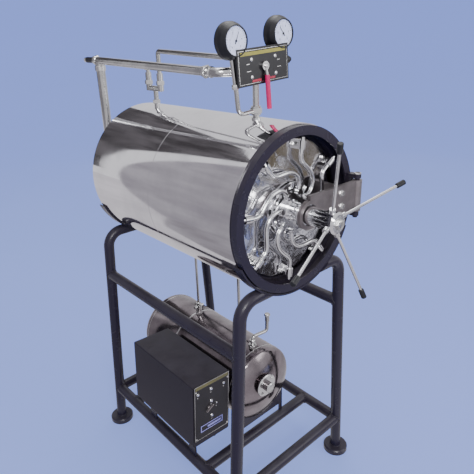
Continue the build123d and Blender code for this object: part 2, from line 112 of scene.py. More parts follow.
# %% A socket that can be used in a sum
class Value:
    """A socket that adds, multiplies and compares like a number."""

    def __init__(self, owner, socket):
        self.owner = owner
        self.socket = socket

    def __add__(self, other):
        return self.owner.do("ADD", self, other)

    def __radd__(self, other):
        return self.owner.do("ADD", other, self)

    def __sub__(self, other):
        return self.owner.do("SUBTRACT", self, other)

    def __rsub__(self, other):
        return self.owner.do("SUBTRACT", other, self)

    def __mul__(self, other):
        return self.owner.do("MULTIPLY", self, other)

    def __rmul__(self, other):
        return self.owner.do("MULTIPLY", other, self)

    def __truediv__(self, other):
        return self.owner.do("DIVIDE", self, other)

    def __gt__(self, other):
        return self.owner.do("GREATER_THAN", self, other)

    def __lt__(self, other):
        return self.owner.do("LESS_THAN", self, other)


# %% A tree with one method for its nodes
class Tree:
    """A node tree whose nodes are added one call at a time."""

    def __init__(self, tree):
        self.tree = tree

    def node(self, kind, settings, sockets, out=0):
        made = self.tree.nodes.new(kind)
        for key, value in settings.items():
            if key == "stops":
                self.set_stops(made.color_ramp, value)
            else:
                setattr(made, key, value)
        for key, value in sockets.items():
            self.feed(made.inputs[key], value)
        return Value(self, made.outputs[out])

    def do(self, operation, a, b=0.0):
        return self.node("ShaderNodeMath", {"operation": operation}, {0: a, 1: b})

    def feed(self, socket, value):
        if isinstance(value, Value):
            self.tree.links.new(value.socket, socket)
        else:
            socket.default_value = value

    def set_stops(self, ramp, stops):
        while len(ramp.elements) > 1:
            ramp.elements.remove(ramp.elements[-1])
        ramp.elements[0].position, ramp.elements[0].color = stops[0]
        for position, colour in stops[1:]:
            ramp.elements.new(position).color = colour


# %% A finish
class Finish(Tree):
    """A material built around one Principled shader and Object coordinates."""

    def __init__(self, name):
        self.material = bpy.data.materials.new(name)
        self.material.use_nodes = True
        super().__init__(self.material.node_tree)
        self.surface = self.tree.nodes["Principled BSDF"]
        self.place = self.node("ShaderNodeTexCoord", {}, {}, "Object")

    def set(self, **sockets):
        for key, value in sockets.items():
            self.feed(self.surface.inputs[key.replace("_", " ")], value)
        return self

    def noise(self, scale, detail=3.0, stretch=(1, 1, 1), rough=0.55):
        moved = self.node("ShaderNodeMapping", {}, {"Vector": self.place, "Scale": stretch})
        sockets = {"Vector": moved, "Scale": scale, "Detail": detail, "Roughness": rough}
        return self.node("ShaderNodeTexNoise", {}, sockets)

    def axis(self, letter):
        return self.node("ShaderNodeSeparateXYZ", {}, {"Vector": self.place}, letter)

    def spread(self, value, low, high, to_low=0.0, to_high=1.0):
        sockets = {"Value": value, "From Min": low, "From Max": high, "To Min": to_low, "To Max": to_high}
        return self.node("ShaderNodeMapRange", {"clamp": True}, sockets)

    def blend(self, factor, first, second):
        return self.node("ShaderNodeMix", {"data_type": "RGBA"}, {0: factor, 6: first, 7: second}, 2)

    def bump(self, height, depth, strength=1.0):
        sockets = {"Height": height, "Distance": depth, "Strength": strength}
        return self.set(Normal=self.node("ShaderNodeBump", {}, sockets))


def grey(level, tint=(0, 0, 0)):
    """Colour of one grey, with a little of a tint added."""
    return tuple(level + t for t in tint) + (1,)


FINISHES = {}
print("tree tools ready")

# %% [markdown]
# ## Polished sheet
# The drum's cladding is thin stainless sheet, rolled and buffed. It mirrors the room, but
# never perfectly: the sheet bows a little between its seams, fine buffing lines run around
# it, and a haze of finger marks dulls it here and there. The bow is a broad bump, the haze
# is roughness, and the lap where two sheets meet is a narrow step in the same bump.

# %% Polished cladding
clad = Finish("polished_cladding")
bow = clad.noise(2.6, 2.0, (1.0, 0.30, 1.0))
buff = clad.noise(55.0, 4.0, (0.05, 3.0, 0.05))
haze = clad.spread(clad.noise(6.0, 6.0), 0.42, 0.72)
lap = clad.spread(clad.axis("Y"), at(0, 438, 0).y, at(0, 440, 0).y)
speck = clad.spread(clad.noise(180.0, 2.0), 0.60, 0.75)
clad.set(
    Base_Color=clad.blend(haze, grey(0.86, (0.01, 0, 0.03)), grey(0.72, (0.01, 0, 0.03))),
    Metallic=1.0,
    Roughness=0.035 + 0.03 * buff + 0.07 * haze + 0.06 * speck,
)
clad.bump(bow + 0.010 * buff + 0.15 * lap, 0.010, 0.24)
FINISHES["polished_cladding"] = clad

# %% [markdown]
# The door plate is flat, so it shows one patch of the room almost undistorted unless the
# metal is uneven. On the real one the plate is dished by its welds and scoured by years of
# wiping, which breaks the picture into a clutter of streaks. Two scales of bump do that.

# %% Polished door
door = Finish("polished_door")
swirl = door.noise(5.0, 5.0)
weld_pull = door.noise(7.0, 2.0)
ripple = door.noise(26.0, 3.0)
door.set(
    Base_Color=door.blend(door.spread(swirl, 0.4, 0.7), grey(0.80, (0, 0, 0.02)), grey(0.60, (0.01, 0, 0.02))),
    Metallic=1.0,
    Roughness=0.07 + 0.16 * door.spread(swirl, 0.45, 0.78),
)
door.bump(weld_pull + 0.22 * ripple, 0.012, 0.42)
FINISHES["polished_door"] = door

# %% Polished bars
bars = Finish("polished_bars")
streak = bars.noise(24.0, 4.0)
bars.set(
    Base_Color=bars.blend(bars.spread(streak, 0.45, 0.7), grey(0.80, (0, 0, 0.02)), grey(0.58, (0, 0, 0.02))),
    Metallic=1.0,
    Roughness=0.07 + 0.12 * streak,
)
bars.bump(bars.noise(120.0, 3.0), 0.0004, 0.4)
FINISHES["polished_bars"] = bars

# %% [markdown]
# ## Plain steels
# The chamber inside is bead-blasted, the hinge arm is raw bar with grinding marks and a
# little rust bloom, and the boiler is a darker drawn shell. Each is a base grey, a
# stretched noise for its grain and a broad noise for its stains.

# %% Steels
STEELS = {
    "chamber_steel": dict(pale=grey(0.58), dark=grey(0.42), rough=0.30, grain=(1.0, 0.08, 1.0), dent=0.0),
    "hinge_steel": dict(pale=(0.33, 0.30, 0.31, 1), dark=(0.13, 0.115, 0.12, 1), rough=0.38, grain=(0.3, 1, 2), dent=0.1),
    "boiler_steel": dict(pale=(0.30, 0.265, 0.28, 1), dark=(0.085, 0.070, 0.078, 1), rough=0.05, grain=(1, 0.1, 1), dent=0.8),
    "chrome_pipe": dict(pale=grey(0.62), dark=grey(0.38), rough=0.08, grain=(1, 1, 1), dent=0.1),
    "bright_steel": dict(pale=grey(0.76), dark=grey(0.55), rough=0.12, grain=(1, 1, 1), dent=0.0),
    "brass": dict(pale=(0.72, 0.52, 0.26, 1), dark=(0.42, 0.27, 0.12, 1), rough=0.22, grain=(1, 1, 1), dent=0.0),
}
for name, look in STEELS.items():
    steel = Finish(name)
    stain = steel.spread(steel.noise(7.0, 6.0), 0.38, 0.70)
    grain = steel.noise(80.0, 4.0, look["grain"])
    steel.set(
        Base_Color=steel.blend(stain, look["pale"], look["dark"]),
        Metallic=1.0,
        Roughness=look["rough"] + 0.14 * grain + 0.12 * stain,
    )
    steel.bump(look["dent"] * steel.noise(5.0, 2.0) + 0.02 * grain, 0.006, 0.4)
    FINISHES[name] = steel

# %% [markdown]
# ## Black enamel
# The stand is sprayed with black enamel. The coat has orange peel, gathers dust on the
# faces that look up and is scuffed dull where hands and feet reach. The face's direction
# comes from the Geometry node's normal, whose Z is 1 on a level top.

# %% Paints
for name, colour, gloss in (
    ("black_paint", (0.0260, 0.0200, 0.0280, 1), 0.27),
    ("box_paint", (0.0170, 0.0120, 0.0180, 1), 0.38),
):
    paint = Finish(name)
    facing = paint.node("ShaderNodeNewGeometry", {}, {}, "Normal")
    upward = paint.spread(paint.node("ShaderNodeSeparateXYZ", {}, {"Vector": facing}, "Z"), 0.3, 1.0)
    dust = upward * paint.spread(paint.noise(11.0, 6.0), 0.35, 0.75)
    scuff = paint.spread(paint.noise(30.0, 5.0), 0.62, 0.80)
    paint.set(
        Base_Color=paint.blend(dust, colour, (0.052, 0.046, 0.052, 1)),
        Roughness=gloss + 0.20 * dust + 0.18 * scuff,
        Specular_IOR_Level=0.34,
    )
    paint.bump(paint.noise(240.0, 2.0), 0.0005, 0.5)
    FINISHES[name] = paint

# %% [markdown]
# ## Plastics, rubber and faces
# Moulded plastic is never one flat colour: its grain catches the light in points. The
# front panel is satin anodised sheet, and the strips on it are printed film that has
# rubbed through to a duller tone in places.

# %% Plastics and films
PLASTICS = {
    "black_plastic": ((0.010, 0.010, 0.011, 1), 0.30),
    "grip_plastic": ((0.66, 0.012, 0.10, 1), 0.30),
    "gasket_rubber": ((0.030, 0.030, 0.030, 1), 0.60),
    "panel_face": ((0.011, 0.009, 0.011, 1), 0.36),
    "valve_face": ((0.009, 0.008, 0.009, 1), 0.28),
    "yellow_film": ((0.42, 0.36, 0.05, 1), 0.45),
    "olive_film": ((0.17, 0.145, 0.04, 1), 0.45),
    "red_film": ((0.50, 0.035, 0.05, 1), 0.40),
    "violet_film": ((0.40, 0.36, 0.62, 1), 0.40),
    "lamp_lens": ((0.62, 0.58, 0.60, 1), 0.14),
    "dial_white": ((0.93, 0.94, 0.97, 1), 0.30),
    "ink": ((0.012, 0.012, 0.015, 1), 0.40),
}
for name, (colour, rough) in PLASTICS.items():
    moulded = Finish(name)
    mottle = moulded.noise(38.0, 5.0)
    worn = moulded.spread(moulded.noise(95.0, 4.0), 0.52, 0.70)
    shade = tuple(0.62 * c for c in colour[:3]) + (1,)
    moulded.set(
        Base_Color=moulded.blend(0.55 * worn + 0.2 * mottle, colour, shade),
        Roughness=rough + 0.12 * mottle,
    )
    moulded.bump(moulded.noise(170.0, 3.0), 0.00025, 0.5)
    FINISHES[name] = moulded


# %% Dress the nodes
def dress(obj, finish):
    """Put one finish on the whole of a piece."""
    obj.data.materials.clear()
    obj.data.materials.append(FINISHES[finish].material)
    return obj


for row in frame["record"]["subparts"]:
    bar = row["node"] == "handle" or row["node"].startswith("locking_arm")
    dress(frame["nodes"][row["node"]], "polished_bars" if bar else row["material_slot"])
print("finishes", len(FINISHES))

# %% [markdown]
# ## Shapes by hand
# Most small fittings are turned parts or cut plates. A turned part is an outline of radius
# and height spun around a line: twenty-eight steps give a round bar, six give a hexagon. A
# plate is an outline pushed along a direction. Both are closed and face outwards.


# %% Turned parts and plates
def turn(bm, base, direction, outline, steps=28):
    """Spin (radius, height) pairs, in millimetres, about a line."""
    line = Vector(direction).normalized()
    across = line.orthogonal().normalized()
    deep = line.cross(across)
    rings = []
    for radius, height in outline:
        middle = base + line * height / 1000
        count = steps if radius > 0 else 1
        ring = []
        for i in range(count):
            angle = 2 * math.pi * (i + 0.5) / steps
            spoke = across * math.cos(angle) + deep * math.sin(angle)
            ring.append(bm.verts.new(middle + spoke * radius / 1000))
        rings.append(ring)
    if outline[0] == outline[-1]:
        for spare in rings.pop():
            bm.verts.remove(spare)
        rings.append(rings[0])
    for low, high in zip(rings, rings[1:]):
        for i in range(steps):
            j = (i + 1) % steps
            corners = [low[i % len(low)], low[j % len(low)], high[j % len(high)], high[i % len(high)]]
            kept = list(dict.fromkeys(corners))
            if len(kept) > 2:
                bm.faces.new(kept)


def push(bm, outline, along):
    """Push a flat outline along a vector into a closed plate."""
    low = [bm.verts.new(p) for p in outline]
    high = [bm.verts.new(p + along) for p in outline]
    bm.faces.new(low[::-1])
    bm.faces.new(high)
    for i in range(len(low)):
        j = (i + 1) % len(low)
        bm.faces.new((low[i], low[j], high[j], high[i]))


def finish_piece(name, bm, finish, body):
    """Turn a bmesh into a dressed piece that rides on a body."""
    bmesh.ops.recalc_face_normals(bm, faces=bm.faces)
    mesh = bpy.data.meshes.new(name)
    bm.to_mesh(mesh)
    bm.free()
    return own(name, mesh, finish, body)


def own(name, mesh, finish, body):
    """Give a mesh its object, its soft edges, its finish and its body."""
    mesh.shade_smooth()
    mesh.set_sharp_from_angle(angle=math.radians(32))
    piece = bpy.data.objects.new(name, mesh)
    scene.collection.objects.link(piece)
    dress(piece, finish)
    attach(piece, body)
    return piece


ROUND_HEAD = ((0, 0), (5, 0), (5, 1), (4.2, 2.4), (2.4, 3.2), (0, 3.4))
FLAT_HEAD = ((0, 0), (5.5, 0), (5.5, 0.5), (4, 1.0), (0, 1.2))


def scaled(outline, size):
    """The same outline at another size."""
    return [(r * size, h * size) for r, h in outline]


# %% [markdown]
# ## Repeats by Geometry Nodes
# Screws, hexagon heads, dial marks and weld ripples all repeat one small shape over a set
# of places. A recipe is a geometry tree with named inputs. It runs once over a mesh that
# holds only the places, and the result is kept as a plain mesh, since instances don't
# survive the export.


# %% A recipe and how it is run
class Recipe(Tree):
    """A geometry node group that is run once and kept as a plain mesh."""

    def __init__(self, name, **inputs):
        super().__init__(bpy.data.node_groups.new(name, "GeometryNodeTree"))
        self.name = name
        sockets = self.tree.interface
        sockets.new_socket("Places", in_out="INPUT", socket_type="NodeSocketGeometry")
        self.keys = {}
        for key, kind in dict(inputs, Material="Material").items():
            made = sockets.new_socket(key, in_out="INPUT", socket_type="NodeSocket" + kind)
            self.keys[key] = made.identifier
        sockets.new_socket("Result", in_out="OUTPUT", socket_type="NodeSocketGeometry")
        self.start = self.tree.nodes.new("NodeGroupInput")
        self.end = self.tree.nodes.new("NodeGroupOutput")

    def given(self, key):
        return Value(self, self.start.outputs[key])

    def ends(self, geometry):
        real = self.node("GeometryNodeRealizeInstances", {}, {"Geometry": geometry})
        sockets = {"Geometry": real, "Material": self.given("Material")}
        self.feed(self.end.inputs[0], self.node("GeometryNodeSetMaterial", {}, sockets))

    def run(self, name, finish, body, points, edges=(), facing=None, move=None, **sizes):
        seed = bpy.data.meshes.new(name + "_places")
        seed.from_pydata([tuple(p) for p in points], list(edges), [])
        if facing:
            record = seed.attributes.new("facing", "FLOAT_VECTOR", "POINT")
            record.data.foreach_set("vector", [c for f in facing for c in Vector(f).normalized()])
        holder = bpy.data.objects.new(name + "_places", seed)
        scene.collection.objects.link(holder)
        modifier = holder.modifiers.new("recipe", "NODES")
        modifier.node_group = self.tree
        modifier[self.keys["Material"]] = FINISHES[finish].material
        for key, value in sizes.items():
            modifier[self.keys[key]] = value
        graph = bpy.context.evaluated_depsgraph_get()
        mesh = bpy.data.meshes.new_from_object(holder.evaluated_get(graph), depsgraph=graph)
        bpy.data.objects.remove(holder)
        if move is not None:
            mesh.transform(move)
        piece = own(name, mesh, finish, body)
        print(name, len(mesh.polygons), "faces")
        return piece


# %% [markdown]
# A hexagon head is a thin washer, a six-sided body and a flat chamfered crown. The three
# are joined once, stood on each place and turned to the direction stored with it.

# %% Recipe for hexagon heads
hex_heads = Recipe("hex_heads", Radius="Float", Height="Float")
radius, height = hex_heads.given("Radius"), hex_heads.given("Height")


def stacked(recipe, vertices, bottom, top, low, high):
    """A frustum whose foot stands at a height."""
    sockets = {"Vertices": vertices, "Radius Top": top, "Radius Bottom": bottom, "Depth": high - low}
    cone = recipe.node("GeometryNodeMeshCone", {}, sockets)
    lift = recipe.node("ShaderNodeCombineXYZ", {}, {"Z": low})
    return recipe.node("GeometryNodeTransform", {}, {"Geometry": cone, "Translation": lift})


washer = stacked(hex_heads, 20, radius * 1.25, radius * 1.22, height * 0.0, height * 0.2)
body_hex = stacked(hex_heads, 6, radius, radius, height * 0.2, height * 0.9)
crown = stacked(hex_heads, 6, radius, radius * 0.8, height * 0.9, height * 1.05)
join = hex_heads.tree.nodes.new("GeometryNodeJoinGeometry")
for part in (washer, body_hex, crown):
    hex_heads.tree.links.new(part.socket, join.inputs[0])
facing = hex_heads.node("GeometryNodeInputNamedAttribute", {"data_type": "FLOAT_VECTOR"}, {"Name": "facing"})
turned = hex_heads.node("FunctionNodeAlignRotationToVector", {"axis": "Z"}, {"Vector": facing})
hex_heads.ends(hex_heads.node("GeometryNodeInstanceOnPoints", {}, {
    "Points": hex_heads.given("Places"),
    "Instance": Value(hex_heads, join.outputs[0]),
    "Rotation": turned,
}))

# %% [markdown]
# A weld bead is a row of overlapping ripples laid along the joint. The recipe turns the
# joint's line into evenly spaced points and sets a flattened ball on each, with a little
# change of size so that no two ripples are the same.

# %% Recipe for weld beads
weld_bead = Recipe("weld_bead", Spacing="Float", Radius="Float", Seed="Int")
line = weld_bead.node("GeometryNodeMeshToCurve", {}, {"Mesh": weld_bead.given("Places")})
dots = weld_bead.node("GeometryNodeCurveToPoints", {"mode": "LENGTH"}, {
    "Curve": line,
    "Length": weld_bead.given("Spacing"),
})
ball = weld_bead.node("GeometryNodeMeshIcoSphere", {}, {"Radius": weld_bead.given("Radius"), "Subdivisions": 2})
vary = weld_bead.node("FunctionNodeRandomValue", {"data_type": "FLOAT"}, {
    2: 0.85, 3: 1.15, "Seed": weld_bead.given("Seed"),
}, 1)
weld_bead.ends(weld_bead.node("GeometryNodeInstanceOnPoints", {}, {"Points": dots, "Instance": ball, "Scale": vary}))

# %% [markdown]
# The marks of a dial are thin bars around an arc. The recipe counts them out, works out
# each angle from its index and stands a bar at the arc's radius, long at every fifth mark.

# %% Recipe for dial marks
marks = Recipe("dial_marks", Count="Int", Radius="Float", First="Float", Step="Float", Length="Float")
index = marks.node("GeometryNodeInputIndex", {}, {})
row = marks.node("GeometryNodeMeshLine", {}, {"Count": marks.given("Count")})
angle = marks.given("First") - marks.given("Step") * index
ray = marks.node("ShaderNodeCombineXYZ", {}, {
    "X": marks.given("Radius") * marks.do("COSINE", angle),
    "Y": marks.given("Radius") * marks.do("SINE", angle),
})
placed = marks.node("GeometryNodeSetPosition", {}, {"Geometry": row, "Position": ray})
bar_size = marks.node("ShaderNodeCombineXYZ", {}, {"X": marks.given("Length"), "Y": 0.0008, "Z": 0.0003})
bar = marks.node("GeometryNodeMeshCube", {}, {"Size": bar_size})
spin = marks.node("ShaderNodeCombineXYZ", {}, {"Z": angle})
fifth = 1.0 - 0.45 * (marks.do("MODULO", index, 5.0) > 0.5)
stretch = marks.node("ShaderNodeCombineXYZ", {}, {"X": fifth, "Y": fifth, "Z": 1.0})
marks.ends(marks.node("GeometryNodeInstanceOnPoints", {}, {
    "Points": placed, "Instance": bar, "Rotation": spin, "Scale": stretch,
}))
print("recipes", [g.name for g in bpy.data.node_groups])

# %% [markdown]
# ## Flat faces with things on them
# The valve plate and the control panel both lean a little, and everything on them leans
# too. A face keeps its own right and up directions, so that a strip, a rim or a screw can
# be placed in the face's own millimetres.


# %% A leaning face
class Face:
    """A flat face with its own right, up and outward directions."""

    def __init__(self, corner, lean):
        lean = math.radians(lean)
        self.corner = corner
        self.across = Vector((math.cos(lean), 0, math.sin(lean)))
        self.upward = Vector((-math.sin(lean), 0, math.cos(lean)))
        self.outward = Vector((0, -1, 0))

    def spot(self, u, v, lift=0.0):
        return self.corner + (self.across * u + self.upward * v + self.outward * lift) / 1000

    def strip(self, bm, low, high, thick=0.5, lift=0.0):
        (u0, v0), (u1, v1) = low, high
        outline = [self.spot(u, v, lift) for u, v in ((u0, v0), (u1, v0), (u1, v1), (u0, v1))]
        push(bm, outline, self.outward * thick / 1000)

    def rim(self, bm, low, high, width, thick=0.6, lift=0.0):
        (u0, v0), (u1, v1) = low, high
        self.strip(bm, (u0, v0), (u1, v0 + width), thick, lift)
        self.strip(bm, (u0, v1 - width), (u1, v1), thick, lift)
        self.strip(bm, (u0, v0 + width), (u0 + width, v1 - width), thick, lift)
        self.strip(bm, (u1 - width, v0 + width), (u1, v1 - width), thick, lift)


plate = Face(at(0, 152, 1588), 4.0)
panel = Face(at(-318, 201, 288), -3.3)

# %% [markdown]
# ## The gauges
# Each gauge has a white enamelled dial behind its rim, with fine marks, a few figures and
# a thin black needle on a pin. At this distance the marks are barely seen, but close up
# they are what makes a disc into a gauge.

# %% Dials
GAUGES = {
    "left": dict(x=-107.0, z=1656.0, needle=62.0),
    "right": dict(x=84.0, z=1673.0, needle=126.0),
}
DIAL_RADIUS = 38.6
DIAL_FACE = 153.4


def dial_frame(x, z):
    """Turn a drawing in X and Y to face the front at a gauge's centre."""
    centre = at(x, DIAL_FACE, z)
    turn_up = Matrix(((1, 0, 0, centre.x), (0, 0, -1, centre.y), (0, 1, 0, centre.z), (0, 0, 0, 1)))
    return turn_up @ Matrix.Rotation(math.radians(4), 4, "Z")


def figures(bm, move):
    """Stand the numbers 0 to 5 around a dial."""
    for number in range(6):
        text = bpy.data.curves.new("figure", "FONT")
        text.body, text.size, text.extrude = str(number), 0.0075, 0.00012
        text.align_x = text.align_y = "CENTER"
        holder = bpy.data.objects.new("figure", text)
        scene.collection.objects.link(holder)
        graph = bpy.context.evaluated_depsgraph_get()
        mesh = bpy.data.meshes.new_from_object(holder.evaluated_get(graph))
        angle = math.radians(225 - 54 * number)
        away = Vector((math.cos(angle), math.sin(angle), 0)) * 0.0225 + Vector((0, 0, 0.0002))
        mesh.transform(move @ Matrix.Translation(away))
        bm.from_mesh(mesh)
        bpy.data.objects.remove(holder)
        bpy.data.meshes.remove(mesh)


for side, gauge in GAUGES.items():
    move = dial_frame(gauge["x"], gauge["z"])
    front = at(gauge["x"], DIAL_FACE, gauge["z"])
    bm = bmesh.new()
    turn(bm, front, (0, 1, 0), [(0, 0), (DIAL_RADIUS, 0), (DIAL_RADIUS, 0.5), (0, 0.5)], 56)
    finish_piece("dial_" + side, bm, "dial_white", "vessel")
    marks.run("dial_marks_" + side, "ink", "vessel", [(0, 0, 0)], move=move, Count=26,
              Radius=0.0335, First=math.radians(225), Step=math.radians(10.8), Length=0.0062)
    bm = bmesh.new()
    figures(bm, move)
    lean = Matrix.Rotation(math.radians(gauge["needle"]), 4, "Z")
    blade = [Vector(p) / 1000 for p in ((-9, -1.7, 0.8), (-9, 1.7, 0.8), (24, 0.4, 0.8), (24, -0.4, 0.8))]
    push(bm, [move @ lean @ p for p in blade[::-1]], move.to_3x3() @ Vector((0, 0, 0.0005)))
    turn(bm, front, (0, -1, 0), [(0, 0), (3.4, 0), (3.4, 1.6), (2.0, 2.2), (0, 2.2)])
    finish_piece("needle_" + side, bm, "ink", "vessel")
    bm = bmesh.new()
    rim = [(38.8, 0), (41.6, 0), (42.2, 1.0), (41.2, 2.2), (39.4, 2.2), (38.8, 1.2)]
    turn(bm, at(gauge["x"], 151.4, gauge["z"]), (0, -1, 0), rim + rim[:1], 56)
    finish_piece("gauge_rim_" + side, bm, "black_plastic", "vessel")

# %% [markdown]
# ## The valve plate
# A black plate carries the steam valve's lever. Its edge has a thin bright line, a worn
# yellow strip runs along the top, a short red one sits under the lever, and four screws
# hold it. The strips are left bare.

# %% Valve plate fittings
bm = bmesh.new()
plate.rim(bm, (-100, -46), (100, 46), 0.9, 0.4)
for u in (-70, 56):
    plate.strip(bm, (u, -12), (u + 16, -10.5))
    plate.strip(bm, (u, 8), (u + 12, 9.5))
finish_piece("valve_plate_border", bm, "bright_steel", "vessel")
bm = bmesh.new()
plate.strip(bm, (-92, 32), (92, 42))
finish_piece("valve_plate_strip", bm, "yellow_film", "vessel")
bm = bmesh.new()
plate.strip(bm, (-50, -43), (-14, -36))
plate.strip(bm, (12, -42), (46, -36))
finish_piece("valve_plate_mark", bm, "red_film", "vessel")
bm = bmesh.new()
for u, v in ((-49, 20), (49, 20), (-50, -29), (50, -29)):
    turn(bm, plate.spot(u, v), (0, -1, 0), FLAT_HEAD)
finish_piece("valve_plate_screws", bm, "bright_steel", "vessel")
bm = bmesh.new()
turn(bm, at(0, 143, 1586), (0, -1, 0), [(0, 0), (6, 0), (6, 3), (4, 5), (0, 5.4)])
finish_piece("selector_nut", bm, "bright_steel", "selector")
print("valve plate dressed")

# %% [markdown]
# ## The control panel
# The electrical box's front has pilot lamps in bright bezels, a switch, and an outlined
# label that is left bare here. A lamp is a turned bezel with a small domed lens in it.

# %% Control panel fittings
bm = bmesh.new()
panel.rim(bm, (5, 26), (161, 258), 1.4)
finish_piece("panel_border", bm, "bright_steel", "vessel")
bm = bmesh.new()
panel.strip(bm, (9, 243), (157, 256))
finish_piece("panel_strip", bm, "olive_film", "vessel")
LAMPS = ((18, 226, 5.2), (77, 224, 5.6), (136, 221, 5.0), (78, 172, 5.6), (102, 152, 3.6), (81, 107, 5.4))
bezels, lenses = bmesh.new(), bmesh.new()
for u, v, r in LAMPS:
    rim = [(r * 0.72, 0), (r * 1.15, 0), (r * 1.15, 2.2), (r * 0.95, 3.6), (r * 0.72, 3.6)]
    turn(bezels, panel.spot(u, v), (0, -1, 0), rim + rim[:1])
    turn(lenses, panel.spot(u, v), (0, -1, 0), scaled(((0, 0), (5, 0), (5, 5), (4, 7.5), (2, 9), (0, 9.4)), r * 0.145))
    turn(bezels, panel.spot(u, v - 15), (0, -1, 0), [(0, 0), (2.2, 0), (2.2, 0.6), (0, 0.6)], 12)
finish_piece("lamp_bezels", bezels, "bright_steel", "vessel")
finish_piece("lamp_lenses", lenses, "lamp_lens", "vessel")
bm = bmesh.new()
turn(bm, panel.spot(66, 149), (0, -1, 0), [(0, 0), (6, 0), (6, 5), (5, 6), (0, 6)])
knob = [panel.spot(u, v, 6) for u, v in ((49, 141), (53, 138), (84, 157), (80, 161))]
push(bm, knob, panel.outward * 0.006)
finish_piece("panel_switch", bm, "hinge_steel", "vessel")
bm = bmesh.new()
panel.rim(bm, (31, 53), (133, 80), 3.2)
panel.strip(bm, (62, 62), (124, 70))
finish_piece("panel_label", bm, "violet_film", "vessel")
bm = bmesh.new()
for u in (11, 155):
    for v in (33, 237):
        turn(bm, panel.spot(u, v), (0, -1, 0), scaled(ROUND_HEAD, 0.8))
finish_piece("panel_screws", bm, "bright_steel", "vessel")
bm = bmesh.new()
turn(bm, at(-208, 224, 283), (0, 0, -1), [(0, -3), (10, -3), (10, 8), (7, 11), (7, 20), (4, 23), (0, 23)])
finish_piece("cable_gland", bm, "black_plastic", "vessel")
print("panel lamps", len(LAMPS))

# %% [markdown]
# ## Nuts and couplings
# Every screwed pipe joint shows a hexagon or a collar. They are turned with six sides or
# with many, straight onto the pipe they belong to, a little larger than it.

# %% Couplings on the pipes
COUPLINGS = {
    "exhaust_union": dict(foot=(-139.0, 244, 1574.4), along=(0, 1, 0.003), r=19.5, h=13, steps=6),
    "exhaust_front_ring": dict(foot=(-138.6, 226, 1573.8), along=(0, 1, 0.03), r=16.5, h=6, steps=28),
    "exhaust_rear_nut": dict(foot=(-150.4, 900, 1598.7), along=(0, 1, 0.03), r=18.5, h=17, steps=6),
    "post_collar": dict(foot=(-150, 886, 1560), along=(0, 0, 1), r=20.0, h=20, steps=28),
    "nozzle_tip": dict(foot=(-157.9, 969, 1599.9), along=(-0.14, 1, 0.01), r=9.5, h=12, steps=28),
    "safety_nut_left": dict(foot=(-45, 718, 1511), along=(0, 0, 1), r=15.0, h=15, steps=6),
    "safety_nut_right": dict(foot=(-45, 642, 1511), along=(0, 0, 1), r=15.0, h=15, steps=6),
    "safety_cap_left": dict(foot=(-45, 718, 1562), along=(0, 0, 1), r=12.5, h=9, steps=6),
    "safety_nut_low": dict(foot=(-45, 676, 1444), along=(0, 0, 1), r=14.0, h=14, steps=6),
    "down_union": dict(foot=(-12, 175, 1447), along=(0, 0, 1), r=18.5, h=17, steps=6),
    "down_foot": dict(foot=(-12, 175, 1428), along=(0, 0, 1), r=14.0, h=8, steps=28),
    "feed_nut": dict(foot=(-93.5, 175, 1524), along=(-0.12, 0, 1), r=11.0, h=14, steps=6),
    "inlet_nut": dict(foot=(0, 222, 559), along=(0, 0, 1), r=16.5, h=13, steps=6),
    "inlet_ring": dict(foot=(0, 222, 582), along=(0, 0, 1), r=11.0, h=13, steps=28),
    "inlet_cap": dict(foot=(74, 216, 668), along=(0, 0, 1), r=11.5, h=11, steps=6),
    "steam_nut_low": dict(foot=(8, 566, 556), along=(0, 0, 1), r=14.5, h=9, steps=6),
    "steam_nut_high": dict(foot=(8, 566, 600), along=(0, 0, 1), r=11.0, h=10, steps=6),
    "condensate_nut": dict(foot=(-48, 240, 548), along=(0, 0, 1), r=10.5, h=12, steps=6),
    "hinge_pin_head": dict(foot=(243, -34, 1242), along=(0, 0, 1), r=11.5, h=5.5, steps=28),
}
for name, ring in COUPLINGS.items():
    r, h = ring["r"], ring["h"]
    bm = bmesh.new()
    outline = [(0, 0), (r * 0.9, 0), (r, h * 0.12), (r, h * 0.88), (r * 0.9, h), (0, h)]
    turn(bm, at(*ring["foot"]), ring["along"], outline, ring["steps"])
    finish_piece(name, bm, "bright_steel", "vessel")
print("couplings", len(COUPLINGS))

# %% [markdown]
# ## Bolts on the door
# Each of the eight guides is held by two cap screws on the door plate, the hinge arm by
# two large ones, and the hub by a nut on the spindle. The guides stand at even angles, so
# the screws' places come from the same angles.

# %% Bolts
BOLT_ANGLES = [math.radians(83 + 45 * k) for k in range(8)]
heads, sides = [], []
for angle in BOLT_ANGLES:
    spoke = Vector((math.cos(angle), 0, math.sin(angle)))
    side_way = Vector((-math.sin(angle), 0, math.cos(angle)))
    for aside in (-17, 17):
        place = spoke * 203 + side_way * aside
        heads.append(at(place.x, 42.2, AXIS_HEIGHT + place.z))
hex_heads.run("guide_bolts", "bright_steel", "door", heads, facing=[(0, -1, 0)] * len(heads),
              Radius=0.0062, Height=0.0065)
arm_bolts = [at(150, -39.8, 1199), at(154, -39.8, 1155)]
hex_heads.run("hinge_arm_bolts", "bright_steel", "door", arm_bolts, facing=[(0, -1, 0)] * 2,
              Radius=0.0095, Height=0.0085)
hex_heads.run("spindle_nut", "bright_steel", "handle", [at(0, -145.8, AXIS_HEIGHT)], facing=[(0, -1, 0)],
              Radius=0.0150, Height=0.0090)

# %% [markdown]
# ## Boiler fittings
# The boiler's shell is rolled from two courses, so a raised weld runs around it, and its
# dished end is welded on behind the knuckle. The heater's cover is a bright flange with
# four bolts.

